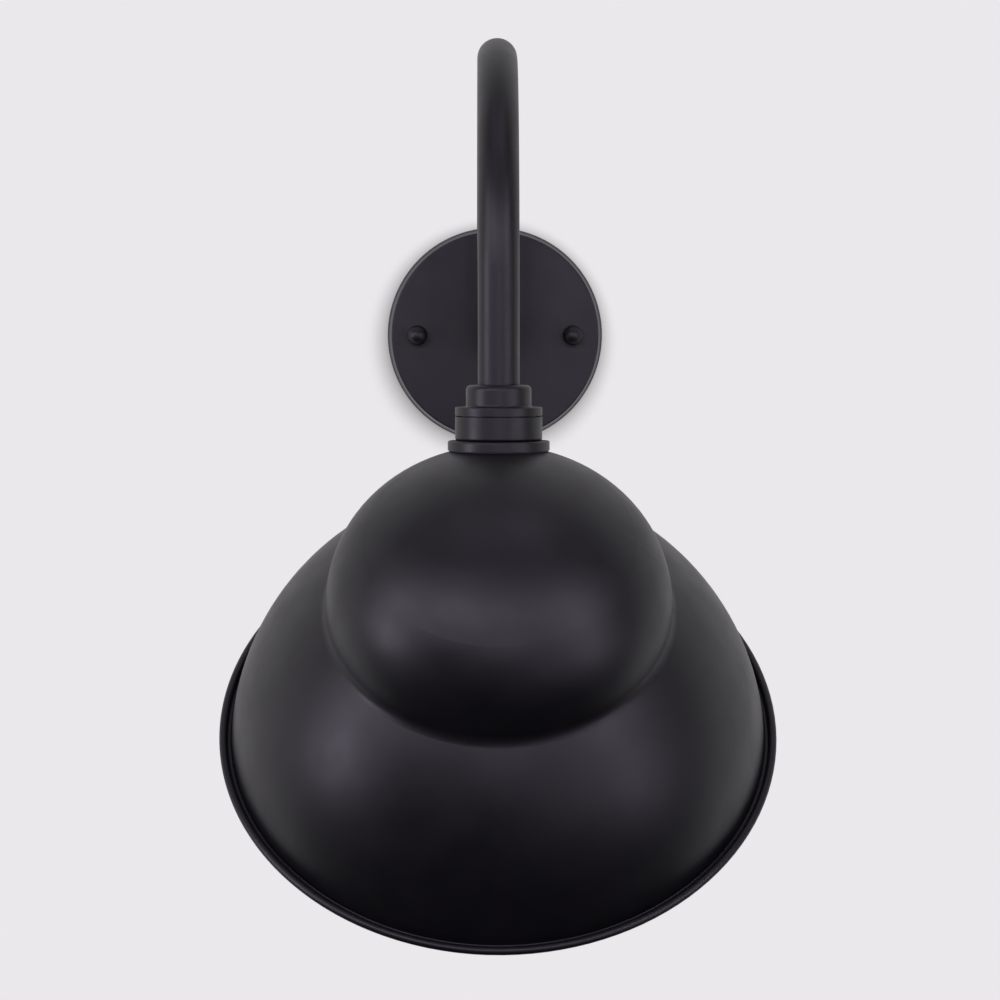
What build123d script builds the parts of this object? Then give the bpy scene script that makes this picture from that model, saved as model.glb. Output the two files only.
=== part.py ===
from build123d import *
import math
import os

# Gooseneck wall sconce with a spun double-dome shade, in millimetres. +Z is up, the wall is the plane y = 0
# and the light stands out towards -Y. The origin is the centre of the canopy's back.

# Fits and gaps
thread_clearance = 0.05     # radial, a thread drawn plain over its screw
running_clearance = 0.05    # radial, turning and sliding fits
press_clearance = 0.05      # radial, plugs brazed into the tube
seat_clearance = 0.05       # between curved faces that bear on each other
lead_clearance = 0.3        # a lead's end above what it is joined to

# Canopy: a pressed steel pan on a foam gasket
canopy_depth = 20.0         # wall to front face
canopy_base_radius = 65.0   # at the wall
canopy_flare = 2.1          # its skirt widens this much from face to wall
canopy_sheet = 1.2
canopy_edge_radius = 0.9
canopy_inner_round = 0.5
gasket_thickness = 2.0
gasket_width = 7.0
gasket_margin = 0.6         # foam showing past the skirt

# Cross bracket behind the canopy
bracket_thickness = 2.0
bracket_width = 22.0
bracket_end_clearance = 1.5 # to the inside of the gasket
bracket_corner_radius = 6.0
bracket_wire_hole_radius = 11.0
box_screw_spacing = 88.9    # 3-1/2 in, the usual wall box
box_slot_length = 10.0
box_slot_width = 4.8
stud_inset = 10.1           # from the bracket's ends
stud_radius = 2.08          # 8-32
stud_hole_radius = 2.6
stud_back_gap = 0.2
stud_reach_in_ball = 6.2
small_nut_across_flats = 8.7
small_nut_height = 3.2

# Ball nuts that hold the canopy on its studs
ball_radius = 6.0
ball_foot_drop = 4.7        # flat foot below the ball's centre
ball_washer_radius = 4.4
ball_washer_thickness = 1.0
ball_bore_depth = 7.4

# Ground screw on the lower arm of the bracket
ground_screw_drop = 23.0
ground_screw_radius = 2.0
ground_head_radius = 4.2
ground_head_height = 2.4
ground_head_round = 0.8
driver_slot_width = 1.0
driver_slot_depth = 1.2

# Gooseneck arm: 7/8 in tube
tube_radius = 11.1
tube_wall = 1.6
arm_reach = 298.4           # wall to the axis of the vertical end
arm_rise_length = 2.2       # straight tube between the root bend and the arch
arm_root_length = 8.4       # straight tube between the canopy and the first bend
root_bend_radius = 38.0
arm_end_drop = 26.2         # the tube's lower end, below the canopy centre

# Threaded nipples and what clamps them
nipple_radius = 6.6         # 1/4 IP
nipple_bore_radius = 4.8
plug_length = 8.0
nipple_depth_in_plug = 7.0
lock_washer_thickness = 1.2
lock_washer_radius = 10.5
lock_washer_split = 0.8     # gap cut across the washer, at a slant
lock_washer_split_angle = 20.0
lock_nut_across_flats = 19.0
lock_nut_height = 4.0
wall_nipple_past_nut = 0.6
terminal_thickness = 0.8
terminal_radius = 9.2

# Fitter cap on the arm's end
cap_radius = 17.4
cap_shoulder_radius = 2.7
cap_socket_depth = 2.0      # the tube sits this far in the cap
cap_height = 11.7           # down to the flange
cap_cove_radius = 1.2
cap_floor = 3.0
cap_cavity_radius = 13.6
fitter_radius = 23.15       # flange and cup
fitter_flange_height = 4.5
flange_edge_radius = 0.5
fitter_seam = 0.6           # open groove between flange and cup
spigot_radius = 19.4
spigot_length = 9.0
spigot_groove_depth = 1.3
spigot_groove_height = 4.8
spigot_groove_drop = 2.2

# Fitter cup with its threaded barrel
cup_height = 12.8
cup_foot_radius = 1.5
barrel_radius = 21.0
barrel_length = 18.0        # below the cup
set_screw_radius = 2.0
set_screw_length = 4.6
set_screw_tip_gap = 0.25
hex_socket_across = 2.0
hex_socket_depth = 2.0

# Shade collar, gasket, saddle washer and ring nut
collar_radius = 27.1
collar_end_height = 5.9     # at its two sides, where the saddle is shallowest
collar_edge_radius = 1.0
shade_gasket_thickness = 0.8
shade_gasket_margin = 0.7
shade_hole_clearance = 0.4
saddle_radius = 26.5
saddle_foot_drop = 12.2     # flat foot of the saddle washer below the cup
ring_nut_radius = 26.0
ring_nut_height = 4.5
ring_nut_slots = 6
ring_nut_slot_width = 4.0
ring_nut_slot_depth = 2.0

# Shade, measured on its own axis above the rim plane
shade_tilt = 43.5           # degrees from the vertical
rim_radius = 152.4          # 12 in across the rolled bead
shade_sheet = 1.2
bowl_radius = 146.6         # the wide lower tier is a zone of this sphere
bowl_centre_drop = 15.6     # its centre lies this far past the rim plane
dome_radius = 91.3          # the upper tier at its widest
dome_equator = 103.4        # height of that place above the rim plane
dome_height = 73.4          # from there to the crown
knuckle_radius = 62.0
crease_radius = 8.0
bead_radius = 2.3
bead_bend_radius = 0.8

# Porcelain lampholder, screw shell and contact, medium base
holder_cap_radius = 12.6
holder_cap_wall = 1.2
holder_cap_gap = 0.6        # under the lock nut
holder_gap = 0.7            # between the fitter's spigot and the porcelain
holder_radius = 18.4
holder_shoulder_radius = 4.0
holder_height = 44.0
holder_skirt_radius = 20.6
holder_skirt_height = 9.0
holder_skirt_round = 1.0
holder_foot_round = 1.5
holder_mouth_radius = 16.0
holder_mouth_depth = 3.0
holder_base = 10.0          # solid porcelain behind the contact
shell_bore_radius = 13.25   # E26
shell_wall = 0.5
shell_length = 24.0
shell_floor_gap = 1.4       # insulating gap round the contact
shell_floor_round = 3.4     # inside, between floor and wall
contact_radius = 3.8        # half the tongue's length
contact_width = 5.0
contact_thickness = 0.8
contact_bow = 2.6
contact_screw_radius = 1.5
contact_screw_offset = 7.2
contact_screw_head_radius = 2.6
contact_screw_head_height = 1.4
contact_screw_head_round = 0.6
contact_slot_width = 0.8
contact_slot_depth = 0.7
contact_screw_length = 5.5
contact_hole_clearance = 1.0    # blind hole past the screw's end
holder_cap_grip = 8.0       # nipple thread in the lampholder's cap

# Leads and connectors
lead_radius = 1.2
lead_offset = 2.3           # each side of the arm's centre line
lead_turn_radius = 7.2
lead_run_length = 16.0      # straight lead behind the canopy, past its turn
lead_grip = 1.0             # length of lead inside its connector
lead_fan_angle = 45.0       # above the horizontal, between the bracket's arms
connector_radius = 4.4
connector_tip_radius = 2.9
connector_length = 17.0
connector_plain_length = 3.4    # at its mouth, before the flutes
connector_flutes = 8
connector_flute_radius = 0.8
ground_loop_drop = 11.0     # straight bonding lead below the ground screw, before its loop
ground_lead_rise = 0.2      # above the bracket
terminal_tab_length = 4.4
terminal_tab_width = 3.6
terminal_crimp_length = 1.0     # of the lead on its tab

facing_wall = Rot(90, 0, 0)     # turns a piece's own +Z to -Y, away from the wall


# The half outline of a turned piece, as (radius, height) points
def outline(*points):
    return make_face(Polyline(*points, close=True))


# Rounds the corner of a half outline at the given point
def rounded(face, corner, radius):
    vertex = face.vertices().sort_by_distance((*corner, 0))[0]
    return fillet(vertex, radius)


def turned(face):
    return revolve(Plane.XZ * face, Axis.Z)


def ring(outer, bore, bottom, top):
    return turned(outline((bore, bottom), (outer, bottom), (outer, top), (bore, top)))


def rod(radius, bottom, top):
    return Pos(0, 0, bottom) * Cylinder(radius, top - bottom, align=(Align.CENTER, Align.CENTER, Align.MIN))


# A hexagon nut with both faces chamfered
def hex_nut(across_flats, bore, height):
    corner = across_flats / math.sqrt(3)
    body = extrude(RegularPolygon(corner, 6), height)
    chamfer_drop = (corner - across_flats / 2) * math.tan(math.radians(30))
    envelope = turned(outline((bore, 0), (across_flats / 2, 0), (corner, chamfer_drop),
                              (corner, height - chamfer_drop), (across_flats / 2, height), (bore, height)))
    return body & envelope


# The centre of the circle of one radius that touches two circles, on the outer side
def centre_between(first, first_distance, second, second_distance):
    step = Vector(*second) - Vector(*first)
    gap = step.length
    along = (first_distance ** 2 - second_distance ** 2 + gap ** 2) / (2 * gap)
    aside = math.sqrt(first_distance ** 2 - along ** 2)
    unit = step / gap
    foot = Vector(*first) + unit * along
    side = Vector(-unit.Y, unit.X, 0)
    meetings = [foot + side * aside, foot - side * aside]
    return max(meetings, key=lambda point: point.X)


def direction(start, end):
    return math.degrees(math.atan2(end.Y - start.Y, end.X - start.X))


# Shade outline: crown, knuckle, crease, bowl and the bend under the bead are tangent arcs
crown_radius = ((dome_radius - knuckle_radius) ** 2 + dome_height ** 2 - knuckle_radius ** 2) \
    / (2 * (dome_height - knuckle_radius))
crown_centre = Vector(0, dome_equator + dome_height - crown_radius, 0)
knuckle_centre = Vector(dome_radius - knuckle_radius, dome_equator, 0)
bowl_centre = Vector(0, -bowl_centre_drop, 0)
crease_centre = centre_between(knuckle_centre, knuckle_radius + crease_radius,
                               bowl_centre, bowl_radius + crease_radius)
bead_centre = Vector(rim_radius - bead_radius, 0, 0)
bend_height = -bead_radius + shade_sheet + bead_bend_radius
bend_centre = Vector(math.sqrt((bowl_radius + bead_bend_radius) ** 2 - (bend_height + bowl_centre_drop) ** 2),
                     bend_height, 0)
shoulder_angle = direction(crown_centre, knuckle_centre)


def arc(centre, radius, start, end):
    return CenterArc(centre, radius, start, end - start)


# The tangent arcs from the crown to the bend, moved outwards by an offset
def shade_line(offset):
    knuckle_end = direction(knuckle_centre, crease_centre)
    bowl_start = direction(bowl_centre, crease_centre)
    bowl_end = direction(bowl_centre, bend_centre)
    return [
        arc(crown_centre, crown_radius + offset, 90, shoulder_angle),
        arc(knuckle_centre, knuckle_radius + offset, shoulder_angle, knuckle_end),
        arc(crease_centre, crease_radius - offset, knuckle_end + 180, bowl_start + 180),
        arc(bowl_centre, bowl_radius + offset, bowl_start, bowl_end),
        arc(bend_centre, bead_bend_radius - offset, bowl_end + 180, 270),
    ]


# The dome filled down to its equator, moved outwards by an offset; it shapes what seats on the shade
def dome_block(offset):
    equator_point = (dome_radius + offset, dome_equator)
    crown_point = (0, dome_equator + dome_height + offset)
    edges = [
        arc(crown_centre, crown_radius + offset, 90, shoulder_angle),
        arc(knuckle_centre, knuckle_radius + offset, shoulder_angle, 0),
        Line(equator_point, (0, dome_equator)),
        Line((0, dome_equator), crown_point),
    ]
    return shade_place * turned(make_face(edges))


# Levels of the neck, worked down from the tube's end
cap_top = -arm_end_drop + cap_socket_depth
flange_top = cap_top - cap_height
flange_bottom = flange_top - fitter_flange_height
cup_top = flange_bottom - fitter_seam
cup_bottom = cup_top - cup_height
barrel_end = cup_bottom - barrel_length
spigot_end = flange_bottom - spigot_length
groove_top = flange_bottom - spigot_groove_drop
groove_bottom = groove_top - spigot_groove_height
groove_middle = (groove_top + groove_bottom) / 2
cap_ceiling = -arm_end_drop - cap_floor
shade_nut_bottom = cap_ceiling - lock_washer_thickness - lock_nut_height
saddle_foot = cup_bottom - saddle_foot_drop
ring_nut_bottom = saddle_foot - ring_nut_height
neck_place = Pos(0, -arm_reach, 0)

# The neck's axis passes through the highest point of the tilted dome. On the knuckle or the crown, that
# point lies where the outline's normal is vertical.
tilt = math.radians(shade_tilt)
top_normal = 90 - shade_tilt
top_arc_centre = knuckle_centre if top_normal < shoulder_angle else crown_centre
top_arc_radius = knuckle_radius if top_normal < shoulder_angle else crown_radius
top_out = top_arc_centre.X + top_arc_radius * math.cos(math.radians(top_normal))
top_up = top_arc_centre.Y + top_arc_radius * math.sin(math.radians(top_normal))
dome_top_behind = top_out * math.cos(tilt) - top_up * math.sin(tilt)
dome_top_above = top_out * math.sin(tilt) + top_up * math.cos(tilt)

# Sideways the dome falls away from its top as a circle about the shade's axis, so this is how far
# the collar's ends stand below that top
side_fall_radius = top_out / math.sin(tilt)
collar_side_fall = side_fall_radius - math.sqrt(side_fall_radius ** 2 - collar_radius ** 2)
dome_top = cup_bottom - collar_end_height + collar_side_fall
shade_place = Pos(0, -arm_reach - dome_top_behind, dome_top - dome_top_above) * Rot(shade_tilt, 0, 0)

# Radii of the canopy and what lies inside it
canopy_face_radius = canopy_base_radius - canopy_flare
gasket_radius = canopy_base_radius + gasket_margin
gasket_bore_radius = gasket_radius - gasket_width
bracket_length = 2 * (gasket_bore_radius - bracket_end_clearance)
stud_spacing = bracket_length - 2 * stud_inset

# Distances of the clamped stack from the wall, at the arm's root
arch_radius = (arm_reach - canopy_depth - arm_root_length - root_bend_radius) / 2
canopy_inside = canopy_depth - canopy_sheet
wall_washer_face = canopy_inside - lock_washer_thickness
wall_terminal_face = wall_washer_face - terminal_thickness
wall_nut_face = wall_terminal_face - lock_nut_height
wall_nipple_end = wall_nut_face - wall_nipple_past_nut
nipple_inner_end = canopy_depth + nipple_depth_in_plug
plug_radius = tube_radius - tube_wall - press_clearance
ball_washer_top = canopy_depth + ball_washer_thickness
stud_end = ball_washer_top + stud_reach_in_ball

# Levels of the lampholder, hung on the lower nipple
holder_cap_top = shade_nut_bottom - holder_cap_gap
holder_top = spigot_end - holder_gap
holder_bottom = holder_top - holder_height
shade_nipple_end = holder_cap_top - holder_cap_grip
shell_top = holder_top - holder_base
mouth_top = holder_bottom + holder_mouth_depth
contact_screw_seat = shell_top - shell_wall
contact_hole_end = contact_screw_seat + contact_screw_length + contact_hole_clearance


def both_sides(piece):
    half = stud_spacing / 2
    return Compound([Pos(-half, 0, 0) * piece, Pos(half, 0, 0) * piece])


# The cross bracket: studs on the horizontal arms, box screw slots on the vertical ones
def make_bracket():
    bar = RectangleRounded(bracket_length, bracket_width, bracket_corner_radius)
    plan = bar + Rot(0, 0, 90) * bar
    plan -= Circle(bracket_wire_hole_radius)
    for side in (-1, 1):
        plan -= Pos(side * stud_spacing / 2, 0) * Circle(stud_radius + thread_clearance)
        slot = SlotOverall(box_slot_length, box_slot_width, rotation=90)
        plan -= Pos(0, side * box_screw_spacing / 2) * slot
    plan -= Pos(0, -ground_screw_drop) * Circle(ground_screw_radius + thread_clearance)
    return facing_wall * extrude(plan, bracket_thickness)


def make_studs():
    return both_sides(facing_wall * rod(stud_radius, stud_back_gap, stud_end))


def make_stud_nuts():
    nut = hex_nut(small_nut_across_flats, stud_radius + thread_clearance, small_nut_height)
    return both_sides(facing_wall * Pos(0, 0, bracket_thickness) * nut)


# A washer-faced screw through the ground lead's terminal
def make_ground_screw():
    seat = bracket_thickness + terminal_thickness
    head_top = seat + ground_head_height
    profile = outline((0, stud_back_gap), (ground_screw_radius, stud_back_gap), (ground_screw_radius, seat),
                      (ground_head_radius, seat), (ground_head_radius, head_top), (0, head_top))
    profile = rounded(profile, (ground_head_radius, head_top), ground_head_round)
    slot = Pos(0, 0, head_top) * Box(2 * ground_head_radius, driver_slot_width, 2 * driver_slot_depth)
    return facing_wall * Pos(0, -ground_screw_drop, 0) * (turned(profile) - slot)


def make_canopy_gasket():
    return facing_wall * ring(gasket_radius, gasket_bore_radius, 0, gasket_thickness)


# A shallow pan with a flared skirt, drilled for the nipple and the studs
def make_canopy():
    face_corner = (canopy_face_radius, canopy_depth)
    inner_corner = (canopy_face_radius - canopy_sheet, canopy_inside)
    profile = outline((0, canopy_depth), face_corner, (canopy_base_radius, gasket_thickness),
                      (canopy_base_radius - canopy_sheet, gasket_thickness), inner_corner, (0, canopy_inside))
    profile = rounded(profile, face_corner, canopy_edge_radius)
    profile = rounded(profile, inner_corner, canopy_inner_round)
    pan = turned(profile)
    pan -= rod(nipple_radius + running_clearance, 0, canopy_depth)
    for side in (-1, 1):
        pan -= Pos(side * stud_spacing / 2, 0, 0) * rod(stud_hole_radius, 0, canopy_depth)
    return facing_wall * pan


# A ball with a flat foot and a blind tapped hole
def make_ball_nut():
    ball = Pos(0, 0, ball_foot_drop) * Sphere(ball_radius)
    ball &= rod(ball_radius, 0, ball_foot_drop + ball_radius)
    ball -= rod(stud_radius + thread_clearance, 0, ball_bore_depth)
    return facing_wall * Pos(0, 0, ball_washer_top) * ball


def make_ball_washer():
    bore = stud_radius + thread_clearance
    return facing_wall * ring(ball_washer_radius, bore, canopy_depth, ball_washer_top)


# The arm's centre line in the plane of its bends, shifted sideways for a lead
def arm_line(start_distance, end_height, sideways=0):
    side_plane = Plane.YZ.offset(sideways)
    out = Line((-start_distance, 0), (-canopy_depth - arm_root_length, 0))
    root_bend = JernArc(out @ 1, out % 1, root_bend_radius, -90)
    rise = Line(root_bend @ 1, root_bend @ 1 + Vector(0, arm_rise_length, 0))
    arch = JernArc(rise @ 1, rise % 1, arch_radius, 180)
    drop = Line(arch @ 1, Vector((arch @ 1).X, end_height, 0))
    return [side_plane * edge for edge in (out, root_bend, rise, arch, drop)]


def swept(edges, radius):
    path = Wire([piece.edge() for piece in edges])
    section = Plane(path @ 0, z_dir=path % 0) * Circle(radius)
    return sweep(section, path)


def make_arm_tube():
    line = arm_line(canopy_depth, -arm_end_drop)
    return swept(line, tube_radius) - swept(line, tube_radius - tube_wall)


def make_plug():
    return ring(plug_radius, nipple_radius + press_clearance, 0, plug_length)


def make_wall_plug():
    return facing_wall * Pos(0, 0, canopy_depth) * make_plug()


def make_wall_nipple():
    return facing_wall * ring(nipple_radius, nipple_bore_radius, wall_nipple_end, nipple_inner_end)


# A split spring washer
def make_lock_washer():
    washer = ring(lock_washer_radius, nipple_radius + thread_clearance, 0, lock_washer_thickness)
    cutter = Box(2 * lock_washer_radius, lock_washer_split, 4 * lock_washer_thickness)
    place = Pos(lock_washer_radius, 0, lock_washer_thickness / 2) * Rot(lock_washer_split_angle, 0, 0)
    return washer - place * cutter


def make_lock_nut():
    return hex_nut(lock_nut_across_flats, nipple_radius + thread_clearance, lock_nut_height)


def make_wall_washer():
    return facing_wall * Pos(0, 0, wall_washer_face) * make_lock_washer()


def make_wall_nut():
    return facing_wall * Pos(0, 0, wall_nut_face) * make_lock_nut()


def make_shade_plug():
    return neck_place * Pos(0, 0, -arm_end_drop) * make_plug()


def make_shade_nipple():
    top = -arm_end_drop + nipple_depth_in_plug
    return neck_place * ring(nipple_radius, nipple_bore_radius, shade_nipple_end, top)


def make_shade_washer():
    return neck_place * Pos(0, 0, cap_ceiling - lock_washer_thickness) * make_lock_washer()


def make_shade_nut():
    return neck_place * Pos(0, 0, shade_nut_bottom) * make_lock_nut()


# The turned cap: round-shouldered top, cove, flange, and a grooved spigot for the cup to turn on
def make_fitter_cap():
    groove_radius = spigot_radius - spigot_groove_depth
    socket_radius = tube_radius + running_clearance
    bore = nipple_radius + running_clearance
    shoulder = (cap_radius, cap_top)
    cove = (cap_radius, flange_top)
    flange_corner = (fitter_radius, flange_top)
    profile = outline(
        (socket_radius, cap_top), shoulder, cove, flange_corner, (fitter_radius, flange_bottom),
        (spigot_radius, flange_bottom), (spigot_radius, groove_top), (groove_radius, groove_top),
        (groove_radius, groove_bottom), (spigot_radius, groove_bottom), (spigot_radius, spigot_end),
        (cap_cavity_radius, spigot_end), (cap_cavity_radius, cap_ceiling), (bore, cap_ceiling),
        (bore, -arm_end_drop), (socket_radius, -arm_end_drop))
    profile = rounded(profile, shoulder, cap_shoulder_radius)
    profile = rounded(profile, cove, cap_cove_radius)
    profile = rounded(profile, flange_corner, flange_edge_radius)
    return neck_place * turned(profile)


# The cup runs on the cap's spigot, and its threaded barrel goes down through the shade
def make_fitter_cup():
    bore = spigot_radius + running_clearance
    cup_foot = (fitter_radius, cup_bottom)
    profile = outline((bore, cup_top), (fitter_radius, cup_top), cup_foot, (barrel_radius, cup_bottom),
                      (barrel_radius, barrel_end), (bore, barrel_end))
    profile = rounded(profile, cup_foot, cup_foot_radius)
    cup = turned(profile)
    hole_radius = set_screw_radius + thread_clearance
    cup -= Pos(0, 0, groove_middle) * Rot(-90, 0, 0) * rod(hole_radius, 0, 2 * fitter_radius)
    return neck_place * cup


# A socket set screw at the back of the cup; its tip lies in the spigot's groove
def make_set_screw():
    tip = spigot_radius - spigot_groove_depth + set_screw_tip_gap
    screw = rod(set_screw_radius, tip, tip + set_screw_length)
    hex_hole = extrude(RegularPolygon(hex_socket_across / math.sqrt(3), 6), hex_socket_depth)
    screw -= Pos(0, 0, tip + set_screw_length - hex_socket_depth) * hex_hole
    return neck_place * Pos(0, 0, groove_middle) * Rot(-90, 0, 0) * screw


# The collar's underside is a saddle that follows the tilted dome over its gasket
def make_collar():
    bore = barrel_radius + thread_clearance
    profile = outline((bore, cup_bottom), (collar_radius, cup_bottom), (collar_radius, saddle_foot),
                      (bore, saddle_foot))
    profile = rounded(profile, (collar_radius, cup_bottom), collar_edge_radius)
    return neck_place * turned(profile) - dome_block(shade_gasket_thickness)


def make_shade_gasket():
    bore = barrel_radius + thread_clearance
    blank = neck_place * ring(collar_radius - shade_gasket_margin, bore, saddle_foot, cup_bottom)
    return (blank & dome_block(shade_gasket_thickness - seat_clearance)) - dome_block(seat_clearance)


# The spun shade: one sheet of even thickness, with a rolled bead at the rim and a hole for the barrel
def make_shade():
    sheet_under = -bead_radius
    sheet_over = sheet_under + shade_sheet
    bead_inner = bead_centre.X - math.sqrt(bead_radius ** 2 - sheet_over ** 2)
    bead_start = math.degrees(math.atan2(sheet_over, bead_inner - bead_centre.X)) % 360
    crown_height = dome_equator + dome_height
    edges = shade_line(0)
    edges.append(Line((bend_centre.X, sheet_over), (bead_inner, sheet_over)))
    edges.append(arc(bead_centre, bead_radius, bead_start, -90))
    edges.append(Line((bead_centre.X, sheet_under), (bend_centre.X, sheet_under)))
    edges.extend(shade_line(-shade_sheet))
    edges.append(Line((0, crown_height - shade_sheet), (0, crown_height)))
    shade = shade_place * turned(make_face(edges))
    hole = neck_place * rod(barrel_radius + shade_hole_clearance, barrel_end, cup_bottom)
    return shade - hole


# The washer inside the shade: its top follows the dome, its foot is flat for the ring nut
def make_saddle_washer():
    blank = neck_place * ring(saddle_radius, barrel_radius + thread_clearance, saddle_foot, cup_bottom)
    return blank & dome_block(-shade_sheet - seat_clearance)


def make_ring_nut():
    nut = ring(ring_nut_radius, barrel_radius + thread_clearance, ring_nut_bottom, saddle_foot)
    notch = Pos(ring_nut_radius, 0, ring_nut_bottom) * Box(2 * ring_nut_slot_depth, ring_nut_slot_width,
                                                          ring_nut_height)
    for index in range(ring_nut_slots):
        nut -= Rot(0, 0, index * 360 / ring_nut_slots) * notch
    return neck_place * nut


# The metal cap that screws the lampholder onto the nipple
def make_holder_cap():
    bore = nipple_radius + thread_clearance
    thread_end = holder_cap_top - holder_cap_grip
    inner = holder_cap_radius - holder_cap_wall
    top_corner = (holder_cap_radius, holder_cap_top)
    profile = outline((bore, holder_cap_top), top_corner, (holder_cap_radius, holder_top),
                      (inner, holder_top), (inner, thread_end), (bore, thread_end))
    profile = rounded(profile, top_corner, holder_cap_wall)
    return neck_place * turned(profile)


# Glazed porcelain: a round shoulder, a straight body, a thicker skirt and a stepped mouth
def make_holder_body():
    shell_radius = shell_bore_radius + shell_wall + seat_clearance
    skirt_top = holder_bottom + holder_skirt_height
    shoulder = (holder_radius, holder_top)
    skirt_corner = (holder_skirt_radius, skirt_top)
    foot = (holder_skirt_radius, holder_bottom)
    profile = outline((0, holder_top), shoulder, (holder_radius, skirt_top), skirt_corner, foot,
                      (holder_mouth_radius, holder_bottom), (holder_mouth_radius, mouth_top),
                      (shell_radius, mouth_top), (shell_radius, shell_top), (0, shell_top))
    profile = rounded(profile, shoulder, holder_shoulder_radius)
    profile = rounded(profile, skirt_corner, holder_skirt_round)
    profile = rounded(profile, foot, holder_foot_round)
    body = turned(profile)
    for side in (-1, 1):
        hole = rod(contact_screw_radius + thread_clearance, shell_top, contact_hole_end)
        body -= Pos(0, side * contact_screw_offset, 0) * hole
    return neck_place * body


# A cup with a pierced floor; its thread is rolled into the wall
def make_screw_shell():
    outer = shell_bore_radius + shell_wall
    floor_bore = contact_radius + shell_floor_gap
    bottom = shell_top - shell_length
    inner_corner = (shell_bore_radius, shell_top - shell_wall)
    profile = outline((outer, shell_top), (outer, bottom), (shell_bore_radius, bottom), inner_corner,
                      (floor_bore, shell_top - shell_wall), (floor_bore, shell_top))
    profile = rounded(profile, (outer, shell_top), shell_floor_round + shell_wall)
    profile = rounded(profile, inner_corner, shell_floor_round)
    shell = turned(profile)
    for side in (-1, 1):
        hole = rod(contact_screw_radius + running_clearance, shell_top - shell_wall, shell_top)
        shell -= Pos(0, side * contact_screw_offset, 0) * hole
    return neck_place * shell


# A sprung tongue, bowed down towards the lamp
def make_contact():
    reach = contact_radius
    bow = ThreePointArc((-reach, 0), (0, -contact_bow), (reach, 0))
    lower = ThreePointArc((reach, contact_thickness), (0, contact_thickness - contact_bow),
                          (-reach, contact_thickness))
    ends = [Line((reach, 0), (reach, contact_thickness)), Line((-reach, contact_thickness), (-reach, 0))]
    strip = extrude(Plane.XZ * make_face([bow, lower, *ends]), contact_width / 2, both=True)
    return neck_place * Pos(0, 0, shell_top - contact_thickness) * strip


def make_contact_screws():
    seat = contact_screw_seat
    head_bottom = seat - contact_screw_head_height
    head = rod(contact_screw_head_radius, head_bottom, seat)
    head = fillet(head.edges().filter_by(GeomType.CIRCLE).group_by(Axis.Z)[0], contact_screw_head_round)
    head -= Pos(0, 0, head_bottom) * Box(2 * contact_screw_head_radius, contact_slot_width,
                                         2 * contact_slot_depth)
    screw = head + rod(contact_screw_radius, seat, seat + contact_screw_length)
    return neck_place * Compound([Pos(0, side * contact_screw_offset, 0) * screw for side in (-1, 1)])


# A lead runs from its connector behind the canopy, through both nipples and the arm, to the lampholder
def lead_path(side):
    fan = math.radians(lead_fan_angle)
    outwards = Vector(side * math.cos(fan), 0, math.sin(fan))
    from_wall = Vector(0, -1, 0)
    turn_end = Vector(side * lead_offset, -wall_nipple_end, 0)
    turn_start = turn_end + (outwards - from_wall) * lead_turn_radius
    half_turn = math.sin(math.pi / 4)
    turn_centre = turn_end + outwards * lead_turn_radius
    middle = turn_centre - (outwards + from_wall) * (lead_turn_radius * half_turn)
    run = Line(turn_start + outwards * lead_run_length, turn_start)
    turn = ThreePointArc(turn_start, middle, turn_end)
    rest = arm_line(wall_nipple_end, holder_top + lead_clearance, side * lead_offset)
    return [run, turn, *rest]


def make_lead(side):
    return swept(lead_path(side), lead_radius)


# A fluted twist-on connector over the end of each lead
def make_connectors():
    cone = Solid.make_cone(connector_radius, connector_tip_radius, connector_length)
    for index in range(connector_flutes):
        flute = rod(connector_flute_radius, connector_plain_length, connector_length)
        cone -= Rot(0, 0, index * 360 / connector_flutes) * Pos(connector_radius, 0, 0) * flute
    cone -= rod(lead_radius + thread_clearance, 0, lead_grip + lead_clearance)
    pieces = []
    for side in (-1, 1):
        run = lead_path(side)[0]
        start = run @ 0 + (run % 0) * lead_grip
        pieces.append(Plane(start, z_dir=(run % 0) * -1) * cone)
    return Compound(pieces)


# A flat ring terminal with a tab towards -Y for its lead
def ring_terminal(outer, bore):
    reach = outer + terminal_tab_length
    tab = Pos(0, -reach / 2, terminal_thickness / 2) * Box(terminal_tab_width, reach, terminal_thickness)
    return (rod(outer, 0, terminal_thickness) + tab) - rod(bore, 0, terminal_thickness)


# A bonding lead in a loop, from a ring terminal on the nipple to one under the ground screw
def make_ground_lead():
    high_line = wall_terminal_face + terminal_thickness / 2
    low_line = bracket_thickness + lead_radius + ground_lead_rise
    loop_radius = (high_line - low_line) / 2
    loop_top = -ground_screw_drop - ground_loop_drop
    upper_end = terminal_crimp_length - terminal_radius - terminal_tab_length
    lower_end = terminal_crimp_length - ground_screw_drop - ground_head_radius - terminal_tab_length
    upper = Line((-high_line, upper_end), (-high_line, loop_top))
    loop = ThreePointArc((-high_line, loop_top), (-high_line + loop_radius, loop_top - loop_radius),
                         (-low_line, loop_top))
    lower = Line((-low_line, loop_top), (-low_line, lower_end))
    wire = swept([Plane.YZ * edge for edge in (upper, loop, lower)], lead_radius)
    on_nipple = Pos(0, 0, wall_terminal_face) \
        * ring_terminal(terminal_radius, nipple_radius + thread_clearance)
    under_screw = Pos(0, -ground_screw_drop, bracket_thickness) \
        * ring_terminal(ground_head_radius, ground_screw_radius + thread_clearance)
    return wire + facing_wall * on_nipple + facing_wall * under_screw


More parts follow.
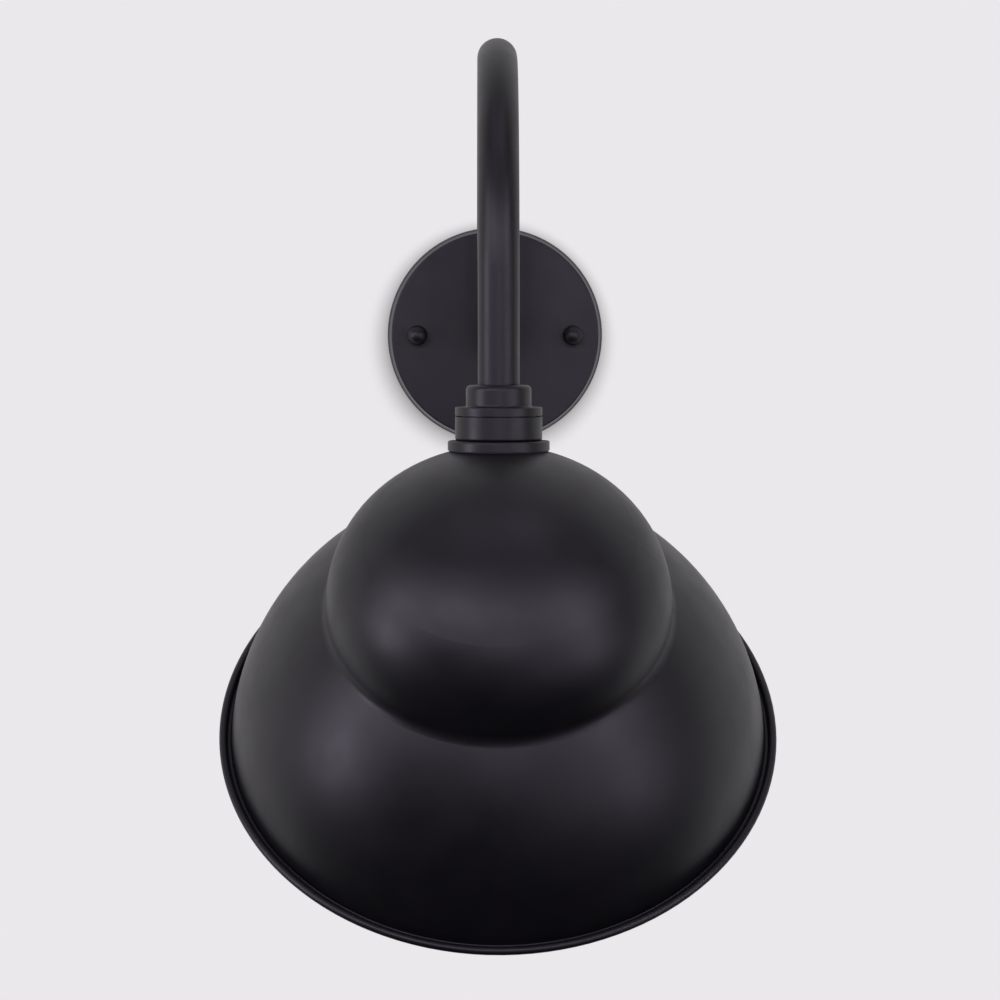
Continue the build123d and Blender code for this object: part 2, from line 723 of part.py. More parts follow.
makers = {
    "mounting_bracket": make_bracket,
    "mounting_studs": make_studs,
    "stud_lock_nuts": make_stud_nuts,
    "ground_screw": make_ground_screw,
    "canopy_gasket": make_canopy_gasket,
    "canopy": make_canopy,
    "arm_tube": make_arm_tube,
    "wall_end_plug": make_wall_plug,
    "wall_nipple": make_wall_nipple,
    "wall_lock_washer": make_wall_washer,
    "wall_lock_nut": make_wall_nut,
    "shade_end_plug": make_shade_plug,
    "shade_nipple": make_shade_nipple,
    "shade_lock_washer": make_shade_washer,
    "shade_lock_nut": make_shade_nut,
    "fitter_cap": make_fitter_cap,
    "fitter_cup": make_fitter_cup,
    "aim_set_screw": make_set_screw,
    "shade_collar": make_collar,
    "shade_gasket": make_shade_gasket,
    "shade": make_shade,
    "saddle_washer": make_saddle_washer,
    "ring_nut": make_ring_nut,
    "lampholder_cap": make_holder_cap,
    "lampholder_body": make_holder_body,
    "screw_shell": make_screw_shell,
    "centre_contact": make_contact,
    "contact_screws": make_contact_screws,
    "line_lead": lambda: make_lead(-1),
    "neutral_lead": lambda: make_lead(1),
    "ground_lead": make_ground_lead,
    "wire_connectors": make_connectors,
    "ball_washer_left": lambda: Pos(-stud_spacing / 2, 0, 0) * make_ball_washer(),
    "ball_washer_right": lambda: Pos(stud_spacing / 2, 0, 0) * make_ball_washer(),
    "ball_nut_left": lambda: Pos(-stud_spacing / 2, 0, 0) * make_ball_nut(),
    "ball_nut_right": lambda: Pos(stud_spacing / 2, 0, 0) * make_ball_nut(),
}

os.makedirs("parts", exist_ok=True)
for name, make in makers.items():
    export_step(make(), f"parts/{name}.step")

print("neck levels", round(cap_top, 2), round(cup_top, 2), round(cup_bottom, 2), round(dome_top, 2))
print("rim centre y z", round(-arm_reach - dome_top_behind, 2), round(dome_top - dome_top_above, 2))
print("lampholder levels", round(holder_top, 2), round(holder_bottom, 2), round(shell_top, 2))
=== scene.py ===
import bmesh
import bpy
import math
from mathutils import Matrix, Vector


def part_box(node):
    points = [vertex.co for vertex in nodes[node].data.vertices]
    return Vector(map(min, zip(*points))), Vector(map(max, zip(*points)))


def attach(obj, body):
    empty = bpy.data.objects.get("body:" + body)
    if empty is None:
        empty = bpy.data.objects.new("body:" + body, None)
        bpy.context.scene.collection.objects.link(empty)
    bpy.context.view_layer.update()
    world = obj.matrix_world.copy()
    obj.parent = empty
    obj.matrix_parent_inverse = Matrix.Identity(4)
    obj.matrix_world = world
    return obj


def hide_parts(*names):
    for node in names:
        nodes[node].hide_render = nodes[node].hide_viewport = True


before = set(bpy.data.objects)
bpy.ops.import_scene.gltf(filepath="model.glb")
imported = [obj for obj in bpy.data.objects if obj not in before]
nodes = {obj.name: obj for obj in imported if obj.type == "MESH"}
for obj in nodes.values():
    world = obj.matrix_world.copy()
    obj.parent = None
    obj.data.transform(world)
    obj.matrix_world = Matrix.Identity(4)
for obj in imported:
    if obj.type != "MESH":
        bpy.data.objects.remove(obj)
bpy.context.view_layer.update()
scene = bpy.context.scene
print("frame loaded,", len(nodes), "nodes")

millimetre = 0.001

# the part of each noise's range that is used, and its detail
noises = {
    "colourEnds": (0.35, 0.65), "colourDetail": 4.0,
    "roughnessEnds": (0.3, 0.7), "roughnessDetail": 3.0,
}


# sRGB hex to linear RGBA
def hexColour(text):
    shares = [int(text[i:i + 2], 16) / 255 for i in (1, 3, 5)]
    linear = [s / 12.92 if s <= 0.04045 else ((s + 0.055) / 1.055) ** 2.4 for s in shares]
    return (*linear, 1.0)


# a pattern that repeats every so many millimetres, as a texture scale on coordinates in metres
def perMillimetre(size):
    return 1 / (size * millimetre)


# adds a node, sets its properties, and fills or links its inputs
def addNode(tree, kind, settings=None, inputs=None):
    node = tree.nodes.new(kind)
    for name, value in (settings or {}).items():
        setattr(node, name, value)
    for name, value in (inputs or {}).items():
        if isinstance(value, bpy.types.NodeSocket):
            tree.links.new(value, node.inputs[name])
        else:
            node.inputs[name].default_value = value
    return node


# a material with an empty tree but for its shader and output
def startMaterial(name, shaderInputs):
    material = bpy.data.materials.new(name)
    material.use_nodes = True
    tree = material.node_tree
    tree.nodes.clear()
    shader = addNode(tree, "ShaderNodeBsdfPrincipled", inputs=shaderInputs)
    addNode(tree, "ShaderNodeOutputMaterial", inputs={"Surface": shader.outputs["BSDF"]})
    coords = addNode(tree, "ShaderNodeTexCoord")
    return material, tree, shader, coords


# two colours mixed by a noise
def mottled(tree, coords, grainMm, low, high):
    noise = addNode(tree, "ShaderNodeTexNoise", inputs={
        "Vector": coords.outputs["Object"], "Scale": perMillimetre(grainMm),
        "Detail": noises["colourDetail"]})
    ramp = addNode(tree, "ShaderNodeValToRGB", inputs={"Fac": noise.outputs["Fac"]})
    for stop, place, colour in zip(ramp.color_ramp.elements, noises["colourEnds"], (low, high)):
        stop.position = place
        stop.color = hexColour(colour)
    return ramp.outputs["Color"]


# links a colour, a roughness that wanders round its middle value, and a fine bump, which it returns
def dressShader(tree, shader, coords, colour, look):
    wander = addNode(tree, "ShaderNodeTexNoise", inputs={
        "Vector": coords.outputs["Object"], "Scale": perMillimetre(look["roughnessGrain"]),
        "Detail": noises["roughnessDetail"]})
    low, high = noises["roughnessEnds"]
    rough = addNode(tree, "ShaderNodeMapRange", inputs={
        "Value": wander.outputs["Fac"], "From Min": low, "From Max": high,
        "To Min": look["roughness"] - look["spread"], "To Max": look["roughness"] + look["spread"]})
    grain = addNode(tree, "ShaderNodeTexNoise", inputs={
        "Vector": coords.outputs["Object"], "Scale": perMillimetre(look["bumpGrain"]),
        "Detail": look["bumpDetail"]})
    bump = addNode(tree, "ShaderNodeBump", inputs={
        "Height": grain.outputs["Fac"], "Distance": look["bumpDepth"] * millimetre})
    tree.links.new(colour, shader.inputs["Base Color"])
    tree.links.new(rough.outputs["Result"], shader.inputs["Roughness"])
    tree.links.new(bump.outputs["Normal"], shader.inputs["Normal"])
    return bump


# grains, depths and reaches in mm, centres in metres
powderCoat = {
    "black": "#070609", "blackWorn": "#0d0b10", "blackGrain": 30,
    "white": "#e9e8e2", "whiteShade": "#e2e0d8", "whiteGrain": 40,
    "roughness": 0.45, "spread": 0.03, "roughnessGrain": 18,
    "bumpGrain": 1.6, "bumpDepth": 0.012, "bumpDetail": 1.0,    # orange peel of cured powder
    "rimCentre": (0, -0.24848, -0.2133),        # on the shade's axis, in the plane of its rim
    "shadeTilt": 43.5,                          # the axis from the vertical, degrees
    "whiteReach": 145.2,                        # the white stops here, short of the rolled bead
    "linePlay": 0.8,                            # width of the line between the two coats
    "crownCentre": (0, -0.29832, -0.16078),     # of the round that the dome's crown has at its middle
    "crownReach": (6.5, 9),                     # how far from the axis that round is trusted
}


# whether a point is on the shade's inner face, where the normal looks back at the mouth's middle, as 0 to 1,
# and how far it is from the shade's axis
def shadeSides(tree, coords):
    fromRim = addNode(tree, "ShaderNodeVectorMath", {"operation": "SUBTRACT"}, {
        0: coords.outputs["Object"], 1: powderCoat["rimCentre"]})
    facing = addNode(tree, "ShaderNodeVectorMath", {"operation": "DOT_PRODUCT"}, {
        0: coords.outputs["Normal"], 1: fromRim.outputs["Vector"]})
    play = powderCoat["linePlay"] * millimetre
    inside = addNode(tree, "ShaderNodeMapRange", inputs={
        "Value": facing.outputs["Value"], "From Min": play / 2, "From Max": -play / 2})
    onAxis = addNode(tree, "ShaderNodeMapping", {"vector_type": "TEXTURE"}, {
        "Vector": coords.outputs["Object"], "Location": powderCoat["rimCentre"],
        "Rotation": (math.radians(powderCoat["shadeTilt"]), 0, 0)})
    flat = addNode(tree, "ShaderNodeVectorMath", {"operation": "MULTIPLY"}, {
        0: onAxis.outputs["Vector"], 1: (1, 1, 0)})
    fromAxis = addNode(tree, "ShaderNodeVectorMath", {"operation": "LENGTH"}, {0: flat.outputs["Vector"]})
    return inside.outputs["Result"], fromAxis.outputs["Value"]


# white powder over the inner face, as far as the bead
def whiteLining(tree, coords, black, inside, fromAxis):
    play = powderCoat["linePlay"] * millimetre
    reach = powderCoat["whiteReach"] * millimetre
    short = addNode(tree, "ShaderNodeMapRange", inputs={
        "Value": fromAxis, "From Min": reach + play / 2, "From Max": reach - play / 2})
    share = addNode(tree, "ShaderNodeMath", {"operation": "MULTIPLY"}, {
        0: inside, 1: short.outputs["Result"]})
    white = mottled(tree, coords, powderCoat["whiteGrain"], powderCoat["white"], powderCoat["whiteShade"])
    mix = addNode(tree, "ShaderNodeMix", {"data_type": "RGBA"}, {
        "Factor": share.outputs["Value"], "A": black, "B": white})
    return mix.outputs["Result"]


# the spun dome has no pinch where its facets meet at the pole, so its normals there come from the round
def smoothCrown(tree, coords, inside, fromAxis):
    ray = addNode(tree, "ShaderNodeVectorMath", {"operation": "SUBTRACT"}, {
        0: coords.outputs["Object"], 1: powderCoat["crownCentre"]})
    side = addNode(tree, "ShaderNodeMapRange", inputs={"Value": inside, "To Min": 1.0, "To Max": -1.0})
    turned = addNode(tree, "ShaderNodeVectorMath", {"operation": "SCALE"}, {
        0: ray.outputs["Vector"], "Scale": side.outputs["Result"]})
    world = addNode(tree, "ShaderNodeVectorTransform", {
        "vector_type": "NORMAL", "convert_from": "OBJECT", "convert_to": "WORLD"}, {
        "Vector": turned.outputs["Vector"]})
    near, far = powderCoat["crownReach"]
    share = addNode(tree, "ShaderNodeMapRange", inputs={
        "Value": fromAxis, "From Min": far * millimetre, "From Max": near * millimetre})
    surface = addNode(tree, "ShaderNodeNewGeometry")
    unit = addNode(tree, "ShaderNodeVectorMath", {"operation": "NORMALIZE"}, {0: world.outputs["Vector"]})
    mix = addNode(tree, "ShaderNodeMix", {"data_type": "VECTOR"}, {
        "Factor": share.outputs["Result"], "A": surface.outputs["Normal"], "B": unit.outputs["Vector"]})
    return mix.outputs["Result"]


# Polyester powder, sprayed and oven cured: satin, faintly dimpled like orange peel, never mirror smooth
def satinPowderCoat(name, whiteInside):
    material, tree, shader, coords = startMaterial(name, {"IOR": 1.5})
    colour = mottled(tree, coords, powderCoat["blackGrain"], powderCoat["black"], powderCoat["blackWorn"])
    if whiteInside:
        inside, fromAxis = shadeSides(tree, coords)
        colour = whiteLining(tree, coords, colour, inside, fromAxis)
    peel = dressShader(tree, shader, coords, colour, powderCoat)
    if whiteInside:
        tree.links.new(smoothCrown(tree, coords, inside, fromAxis), peel.inputs["Normal"])
    return material


blackCoat = satinPowderCoat("satinBlackPowderCoat", False)
shadeCoat = satinPowderCoat("blackAndWhitePowderCoat", True)

# Metal from the turning or stamping shop: a soft gleam with faint handling marks. Plain brass is warm and
# yellow, zinc plate cool and bright, and the ground screw's dyed plate duller and green
shopMetal = {
    "shader": {"Metallic": 1.0},
    "colourGrain": 3, "roughnessGrain": 2.5, "bumpGrain": 0.5, "bumpDepth": 0.006, "bumpDetail": 2.0,
}
metals = {
    "zinc": {"name": "zincPlatedSteel", "low": "#b9bcc0", "high": "#cfd1d2",
             "roughness": 0.3, "spread": 0.07},
    "brass": {"name": "turnedBrass", "low": "#c9a25a", "high": "#d9b56a",
              "roughness": 0.28, "spread": 0.06},
    "greenZinc": {"name": "greenDyedZincPlate", "low": "#2c6b3e", "high": "#3a7d4c",
                  "roughness": 0.38, "spread": 0.06},
}

# Insulation and connectors come dense and smooth from the extruder or mould: an even half gloss
moulding = {
    "shader": {"IOR": 1.5},
    "colourGrain": 5, "roughnessGrain": 5, "roughness": 0.42, "spread": 0.05,
    "bumpGrain": 1.5, "bumpDepth": 0.01, "bumpDetail": 2.0,
}
mouldings = {
    "blackWire": {"name": "extrudedBlackPvc", "low": "#1b1b1c", "high": "#242425"},
    "whiteWire": {"name": "extrudedWhitePvc", "low": "#d9d8d2", "high": "#e4e3dd"},
    "greenWire": {"name": "extrudedGreenPvc", "low": "#1e6b34", "high": "#27783d"},
    "connector": {"name": "mouldedOrangePolypropylene", "low": "#d9691e", "high": "#e2762a",
                  "roughness": 0.45, "colourGrain": 4, "roughnessGrain": 4,
                  "bumpGrain": 0.8, "bumpDepth": 0.015},
    # glaze pools smooth, under a clear skin
    "porcelain": {"name": "glazedPorcelain", "low": "#e6e3da", "high": "#efede6", "roughness": 0.12,
                  "shader": {"IOR": 1.5, "Coat Weight": 0.6, "Coat Roughness": 0.05},
                  "colourGrain": 6, "roughnessGrain": 6, "bumpGrain": 4, "bumpDepth": 0.02},
    # rubber from a plain steel mould is dull, with the mould's fine grain
    "rubber": {"name": "mouldedBlackRubber", "low": "#161617", "high": "#1f1f20", "roughness": 0.68,
               "colourGrain": 2, "roughnessGrain": 2, "bumpGrain": 0.6, "bumpDepth": 0.02},
    # cut foam is dull, and its cells show
    "foam": {"name": "closedCellFoam", "low": "#5a5a5b", "high": "#757576", "roughness": 0.9,
             "colourGrain": 0.9, "roughnessGrain": 0.9, "bumpGrain": 0.7, "bumpDepth": 0.12},
}


# a finish of one kind all over, from its look
def plainFinish(look):
    material, tree, shader, coords = startMaterial(look["name"], look["shader"])
    colour = mottled(tree, coords, look["colourGrain"], look["low"], look["high"])
    dressShader(tree, shader, coords, colour, look)
    return material


metal = {key: plainFinish({**shopMetal, **look}) for key, look in metals.items()}
moulded = {key: plainFinish({**moulding, **look}) for key, look in mouldings.items()}

finishes = (
    (blackCoat, ("canopy", "arm_tube", "fitter_cap", "fitter_cup", "shade_collar",
                 "ball_nut_left", "ball_nut_right")),
    (shadeCoat, ("shade",)),
    (metal["zinc"], ("mounting_bracket", "mounting_studs", "stud_lock_nuts", "wall_end_plug", "wall_nipple",
                     "wall_lock_washer", "wall_lock_nut", "shade_end_plug", "shade_nipple",
                     "shade_lock_washer", "shade_lock_nut", "aim_set_screw", "saddle_washer", "ring_nut")),
    (metal["brass"], ("lampholder_cap", "screw_shell", "centre_contact", "contact_screws")),
    (metal["greenZinc"], ("ground_screw",)),
    (moulded["porcelain"], ("lampholder_body",)),
    (moulded["rubber"], ("shade_gasket", "ball_washer_left", "ball_washer_right")),
    (moulded["foam"], ("canopy_gasket",)),
    (moulded["blackWire"], ("line_lead",)),
    (moulded["whiteWire"], ("neutral_lead",)),
    (moulded["greenWire"], ("ground_lead",)),
    (moulded["connector"], ("wire_connectors",)),
)
for material, names in finishes:
    for name in names:
        nodes[name].data.materials.clear()
        nodes[name].data.materials.append(material)
print("finishes on", sum(len(names) for material, names in finishes), "nodes")

# radii and pitch in mm, steps round one turn; an outline's points are shares of the pitch and of the depth
threads = {
    "stud": {"crest": 2.08, "root": 1.59, "pitch": 0.794, "steps": 24, "chamfer": 0.35},    # 8-32
    "nipple": {"crest": 6.6, "root": 5.75, "pitch": 1.411, "steps": 48, "chamfer": 0.5,     # 1/4 IP
               "bore": 4.8},
    "cut": ((0, 0), (0.06, 0), (0.44, 1), (0.56, 1), (0.94, 0), (1, 0)),
    "rolled": ((0, 0), (0.125, 0.146), (0.25, 0.5), (0.375, 0.854), (0.5, 1),
               (0.625, 0.854), (0.75, 0.5), (0.875, 0.146), (1, 0)),
    "runOut": 1.5,          # pitches that the helix starts below its lower cut
    "mergeWithin": 0.002, "cutWithin": 0.001, "levelWithin": 0.01,      # mm
}
screwShell = {
    "crest": 13.25, "root": 12.5, "pitch": 3.629, "steps": 72,      # E26, 7 turns to the inch
    "wall": 0.5, "cornerRound": 3.4, "cornerSteps": 5, "floorBore": 5.2,
    "lip": 1.2, "lipSlope": 0.4, "topPlain": 0.3,       # below and above the thread
}
awayFromWall = Matrix.Rotation(math.radians(90), 4, "X")


# an open skin with a right-hand thread, round the Z axis from low to high, all in mm
def threadSkin(form, look, outline, low, high):
    pitch, steps = look["pitch"], look["steps"]
    start = low - threads["runOut"] * pitch
    turns = math.ceil((high - start) / pitch) + 1
    deep = look["crest"] - look["root"]
    points = [form.verts.new((look["root"] + depth * deep, 0, start + share * pitch))
              for share, depth in outline]
    edges = [form.edges.new(pair) for pair in zip(points, points[1:])]
    bmesh.ops.spin(form, geom=points + edges, cent=(0, 0, 0), axis=(0, 0, 1), dvec=(0, 0, pitch / steps),
                   angle=2 * math.pi * turns, steps=steps * turns)
    bmesh.ops.remove_doubles(form, verts=form.verts, dist=threads["mergeWithin"])
    for level, way in ((low, -1), (high, 1)):
        bmesh.ops.bisect_plane(form, geom=form.verts[:] + form.edges[:] + form.faces[:], clear_outer=True,
                               dist=threads["cutWithin"], plane_co=(0, 0, level), plane_no=(0, 0, way))


# the open edges that lie at one level
def openRing(form, level):
    return [edge for edge in form.edges if edge.is_boundary
            and all(abs(point.co.z - level) < threads["levelWithin"] for point in edge.verts)]


# carries an open ring of edges on to a circle at another level
def carryRing(form, edges, radius, level):
    grown = bmesh.ops.extrude_edge_only(form, edges=edges)["geom"]
    for point in [item for item in grown if isinstance(item, bmesh.types.BMVert)]:
        stretch = radius / math.hypot(point.co.x, point.co.y)
        point.co = (point.co.x * stretch, point.co.y * stretch, level)
    return [item for item in grown if isinstance(item, bmesh.types.BMEdge)]


# a threaded rod with chamfered ends, or a tube where its look has a bore
def threadedBar(form, look, low, high):
    chamfer = look["chamfer"]
    threadSkin(form, look, threads["cut"], low + chamfer, high - chamfer)
    rings = []
    for level, end in ((low + chamfer, low), (high - chamfer, high)):
        ring = carryRing(form, openRing(form, level), look["root"], end)
        rings.append(carryRing(form, ring, look["bore"], end) if "bore" in look else ring)
    if "bore" in look:
        bmesh.ops.bridge_loops(form, edges=rings[0] + rings[1])
    else:
        bmesh.ops.holes_fill(form, edges=rings[0] + rings[1], sides=0)
    bmesh.ops.remove_doubles(form, verts=form.verts, dist=threads["mergeWithin"])
    bmesh.ops.recalc_face_normals(form, faces=form.faces)


# makes an object of a form built in mm, and puts it in the place of a node of the CAD model
def finishPiece(name, form, node, body, material):
    bmesh.ops.transform(form, matrix=Matrix.Scale(millimetre, 4), verts=form.verts)
    mesh = bpy.data.meshes.new(name)
    form.to_mesh(mesh)
    form.free()
    piece = bpy.data.objects.new(name, mesh)
    scene.collection.objects.link(piece)
    mesh.materials.append(material)
    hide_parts(node)
    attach(piece, body)
    return piece


# a node's lowest and highest corners in mm
def nodeBox(node):
    return [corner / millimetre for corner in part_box(node)]


def makeStuds():
    low, high = nodeBox("mounting_studs")
    form = bmesh.new()
    for side in (-1, 1):
        stud = bmesh.new()
        threadedBar(stud, threads["stud"], -high.y, -low.y)
        place = Matrix.Translation((side * (high.x - threads["stud"]["crest"]), 0, 0)) @ awayFromWall
        bmesh.ops.transform(stud, matrix=place, verts=stud.verts)
        copy = bpy.data.meshes.new("studCopy")
        stud.to_mesh(copy)
        stud.free()
        form.from_mesh(copy)
        bpy.data.meshes.remove(copy)
    return finishPiece("threadedStuds", form, "mounting_studs", "wall_side",
                       metal["zinc"])


def makeWallNipple():
    low, high = nodeBox("wall_nipple")
    form = bmesh.new()
    threadedBar(form, threads["nipple"], -high.y, -low.y)
    bmesh.ops.transform(form, matrix=awayFromWall, verts=form.verts)
    return finishPiece("threadedNipple", form, "wall_nipple", "wall_side",
                       metal["zinc"])


# Sheet brass, drawn to a cup and rolled with the lamp's thread
def makeScrewShell():
    low, high = nodeBox("screw_shell")
    corner, radius, wall = screwShell["cornerRound"], screwShell["crest"], screwShell["wall"]
    bottom, ceiling = low.z, high.z - wall
    first, last = bottom + screwShell["lip"], ceiling - corner - screwShell["topPlain"]
    form = bmesh.new()
    threadSkin(form, screwShell, threads["rolled"], first, last)
    lip = carryRing(form, openRing(form, first), radius, first - screwShell["lipSlope"])
    carryRing(form, lip, radius, bottom)
    ring = openRing(form, last)
    for step in range(screwShell["cornerSteps"] + 1):
        turn = math.radians(90) * step / screwShell["cornerSteps"]
        ring = carryRing(form, ring, radius - corner * (1 - math.cos(turn)),
                         ceiling - corner * (1 - math.sin(turn)))
    carryRing(form, ring, screwShell["floorBore"], ceiling)
    bmesh.ops.remove_doubles(form, verts=form.verts, dist=threads["mergeWithin"])
    bmesh.ops.recalc_face_normals(form, faces=form.faces)
    outwards = sum(face.normal.dot(Vector((*face.calc_center_median().xy, 0))) for face in form.faces)
    if outwards > 0:
        bmesh.ops.reverse_faces(form, faces=form.faces)     # the skin made so far is the one inside
    middle = (low + high) / 2
    bmesh.ops.transform(form, matrix=Matrix.Translation((middle.x, middle.y, 0)), verts=form.verts)
    piece = finishPiece("rolledScrewShell", form, "screw_shell", "wall_side",
                        metal["brass"])
    sheet = piece.modifiers.new("sheet", "SOLIDIFY")
    sheet.thickness = wall * millimetre
    sheet.offset = -1
    return piece


threaded = [makeStuds(), makeWallNipple(), makeScrewShell()]
print("threads on", len(threaded), "pieces")

# lengths in metres
studio = {
    "wallColour": "#ebe8eb", "wallWidth": 5.0, "wallTop": 1.4, "floorLevel": -0.8, "floorDepth": 4.5,
    "wallBehind": 0.0003,
    "contactWay": (-0.35, 0, -0.94),        # the contact shadow is widest on this side of the canopy
    "contactSpan": 0.062, "contactReach": (0.008, 0.018), "contactDark": (0.45, 0.04),
    "contactEnds": (0.35, 0.97),            # open sky at the shadow's darkest and at its edge
    "contactRound": (0.095, 0.11),          # it fades out this far from the canopy's centre
    "contactSamples": 16,
    "wallGlow": 0.86,                       # what it gives the object, as a share of what the camera sees
    "ambient": 0.018, "ambientColour": "#ffffff", "lightColour": "#f1e8ff", "lightGain": 1.08,
    "litPoint": (0, -0.25, -0.12), "boxDistance": 2.3,
}


# a value that goes from one end to the other across the canopy, from its high side to its low side
def acrossCanopy(tree, along, ends):
    spread = addNode(tree, "ShaderNodeMapRange", inputs={
        "Value": along, "From Min": -studio["contactSpan"], "From Max": studio["contactSpan"],
        "To Min": ends[0], "To Max": ends[1]})
    return spread.outputs["Result"]


# how brightly the wall glows: dimmer in the painted shadow round the canopy, and for what isn't the camera
def wallStrength(tree):
    coords = addNode(tree, "ShaderNodeTexCoord")
    ray = addNode(tree, "ShaderNodeLightPath")
    seen = ray.outputs["Is Camera Ray"]
    way = addNode(tree, "ShaderNodeVectorMath", {"operation": "DOT_PRODUCT"}, {
        0: coords.outputs["Object"], 1: studio["contactWay"]})
    along = way.outputs["Value"]
    sky = addNode(tree, "ShaderNodeAmbientOcclusion", {"samples": studio["contactSamples"]}, {
        "Distance": acrossCanopy(tree, along, studio["contactReach"])})
    # the camera sees the painted shadow darkest on the canopy's low side; reflections there see the wall
    # unshaded
    darkest = addNode(tree, "ShaderNodeMapRange", inputs={
        "Value": seen, "To Min": acrossCanopy(tree, along, (0, 1)),
        "To Max": acrossCanopy(tree, along, studio["contactDark"])})
    fromCanopy = addNode(tree, "ShaderNodeVectorMath", {"operation": "LENGTH"}, {0: coords.outputs["Object"]})
    near, far = studio["contactRound"]
    beyond = addNode(tree, "ShaderNodeMapRange", inputs={
        "Value": fromCanopy.outputs["Value"], "From Min": near, "From Max": far})
    atLeast = addNode(tree, "ShaderNodeMath", {"operation": "MAXIMUM"}, {
        0: darkest.outputs["Result"], 1: beyond.outputs["Result"]})
    shut, clear = studio["contactEnds"]
    strength = addNode(tree, "ShaderNodeMapRange", inputs={
        "Value": sky.outputs["AO"], "From Min": shut, "From Max": clear,
        "To Min": atLeast.outputs["Value"], "To Max": 1.0})
    share = addNode(tree, "ShaderNodeMapRange", inputs={
        "Value": seen, "To Min": studio["wallGlow"], "To Max": 1.0})
    both = addNode(tree, "ShaderNodeMath", {"operation": "MULTIPLY"}, {
        0: strength.outputs["Result"], 1: share.outputs["Result"]})
    return both.outputs["Value"]


# Painted plaster, evenly lit, with a painted shadow round the canopy's foot: a soft dark line. Seen from its
# back it is clear, so that it hides nothing
def paleStage(name, behindCanopy):
    material = bpy.data.materials.new(name)
    material.use_nodes = True
    tree = material.node_tree
    tree.nodes.clear()
    strength = wallStrength(tree) if behindCanopy else 1.0
    glow = addNode(tree, "ShaderNodeEmission", inputs={
        "Color": hexColour(studio["wallColour"]), "Strength": strength})
    clear = addNode(tree, "ShaderNodeBsdfTransparent")
    side = addNode(tree, "ShaderNodeNewGeometry")
    mix = addNode(tree, "ShaderNodeMixShader", inputs={
        "Fac": side.outputs["Backfacing"], 1: glow.outputs["Emission"], 2: clear.outputs["BSDF"]})
    addNode(tree, "ShaderNodeOutputMaterial", inputs={"Surface": mix.outputs["Shader"]})
    return material


# a flat sheet of the stage, turned from lying face up
def stageSheet(name, width, depth, centre, turn, material):
    mesh = bpy.data.meshes.new(name)
    form = bmesh.new()
    bmesh.ops.create_grid(form, x_segments=1, y_segments=1, size=0.5)
    place = Matrix.Translation(centre) @ turn @ Matrix.Diagonal((width, depth, 1, 1))
    bmesh.ops.transform(form, matrix=place, verts=form.verts)
    form.to_mesh(mesh)
    form.free()
    sheet = bpy.data.objects.new(name, mesh)
    mesh.materials.append(material)
    scene.collection.objects.link(sheet)
    return sheet


wallHeight = studio["wallTop"] - studio["floorLevel"]
stageSheet("paleWall", studio["wallWidth"], wallHeight,
           Vector((0, studio["wallBehind"], studio["floorLevel"] + wallHeight / 2)),
           awayFromWall, paleStage("paintedWall", True))
floor = stageSheet("paleFloor", studio["wallWidth"], studio["floorDepth"],
                   Vector((0, -studio["floorDepth"] / 2, studio["floorLevel"])),
                   Matrix.Identity(4), paleStage("paintedFloor", False))
floor.visible_diffuse = False
floor.visible_glossy = False

# The camera sees a pale surround, while the object is lit by a dim one and the soft boxes below
world = bpy.data.worlds.new("studioAir")
world.use_nodes = True
scene.world = world
air = world.node_tree
air.nodes.clear()
seen = addNode(air, "ShaderNodeBackground", inputs={
    "Color": hexColour(studio["wallColour"]), "Strength": 1.0})
lit = addNode(air, "ShaderNodeBackground", inputs={
    "Color": hexColour(studio["ambientColour"]), "Strength": studio["ambient"]})
path = addNode(air, "ShaderNodeLightPath")
airMix = addNode(air, "ShaderNodeMixShader", inputs={
    "Fac": path.outputs["Is Camera Ray"], 1: lit.outputs["Background"], 2: seen.outputs["Background"]})
addNode(air, "ShaderNodeOutputWorld", inputs={"Surface": airMix.outputs["Shader"]})

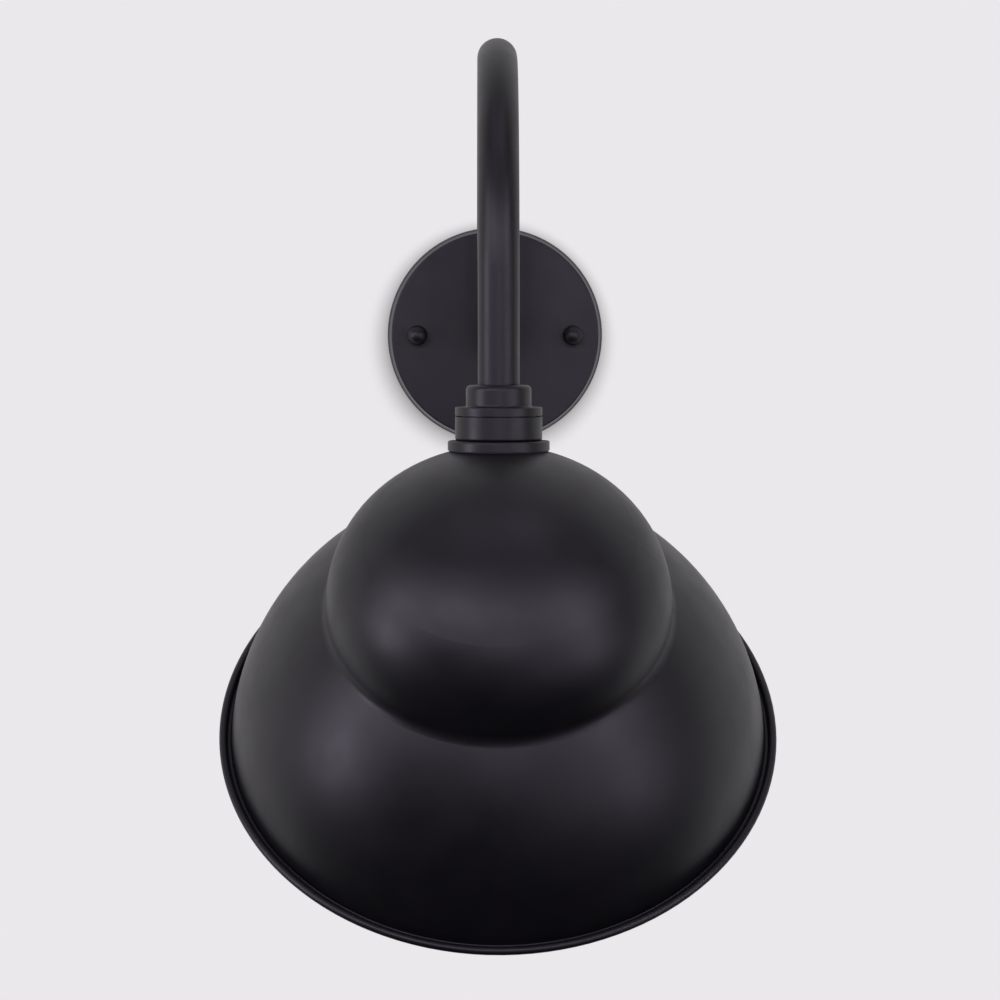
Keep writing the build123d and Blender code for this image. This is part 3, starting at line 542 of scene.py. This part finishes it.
# turn and rise in degrees from the camera's side, width and height in metres, power in watts
softBoxes = {
    "lowLeftBox": (-70, -2, 0.5, 0.5, 10.3),
    "leftBox": (-60, 20, 1.1, 0.5, 9.3),
    "frontLeftBox": (-25, 20, 1.1, 0.5, 10.6),
    "frontBox": (2, 2, 0.7, 0.45, 2.9),
    "frontRightBox": (10, 20, 1.1, 0.5, 6.6),
    "rightBox": (45, 20, 1.1, 0.5, 9.3),
    "middleRightBox": (45, 2, 0.7, 0.45, 2.6),
    "lowFrontBox": (30, -15, 0.9, 0.4, 2.3),
    "lowRightBox": (60, -15, 0.9, 0.4, 2.1),
    "sideRightBox": (60, -6, 0.5, 0.5, 3.4),
    "topLeftBox": (-40, 68, 1.0, 0.8, 2.7),
    "topRightBox": (40, 68, 1.0, 0.8, 3.4),
}


# a soft box on a sphere round the light, facing its middle
def addSoftBox(name, turn, rise, width, height, power):
    lamp = bpy.data.lights.new(name, "AREA")
    lamp.shape = "RECTANGLE"
    lamp.size = width
    lamp.size_y = height
    lamp.energy = power * studio["lightGain"]
    lamp.color = hexColour(studio["lightColour"])[:3]
    holder = bpy.data.objects.new(name, lamp)
    turn, rise = math.radians(turn), math.radians(rise)
    outwards = Vector((math.sin(turn) * math.cos(rise), -math.cos(turn) * math.cos(rise), math.sin(rise)))
    holder.location = Vector(studio["litPoint"]) + outwards * studio["boxDistance"]
    holder.rotation_euler = (-outwards).to_track_quat("-Z", "Y").to_euler()
    holder.visible_camera = False
    scene.collection.objects.link(holder)


for name, box in softBoxes.items():
    addSoftBox(name, *box)
print("stage and lights set")

# place and clipping in metres, turns in degrees, lens and sensor in mm
view = {
    "place": (-0.015, -2.2105, 0.0168), "pitchDown": 3.06, "yawRight": 0.47,
    "lens": 129.6, "sensor": 36, "clip": (0.05, 50),
}


def addCamera():
    lens = bpy.data.cameras.new("photoCamera")
    lens.lens = view["lens"]
    lens.sensor_width = view["sensor"]
    lens.clip_start, lens.clip_end = view["clip"]
    camera = bpy.data.objects.new("photoCamera", lens)
    camera.location = view["place"]
    camera.rotation_euler = (math.radians(90 - view["pitchDown"]), 0, -math.radians(view["yawRight"]))
    scene.collection.objects.link(camera)
    scene.camera = camera


addCamera()
scene.view_settings.view_transform = "Standard"
print("camera set")
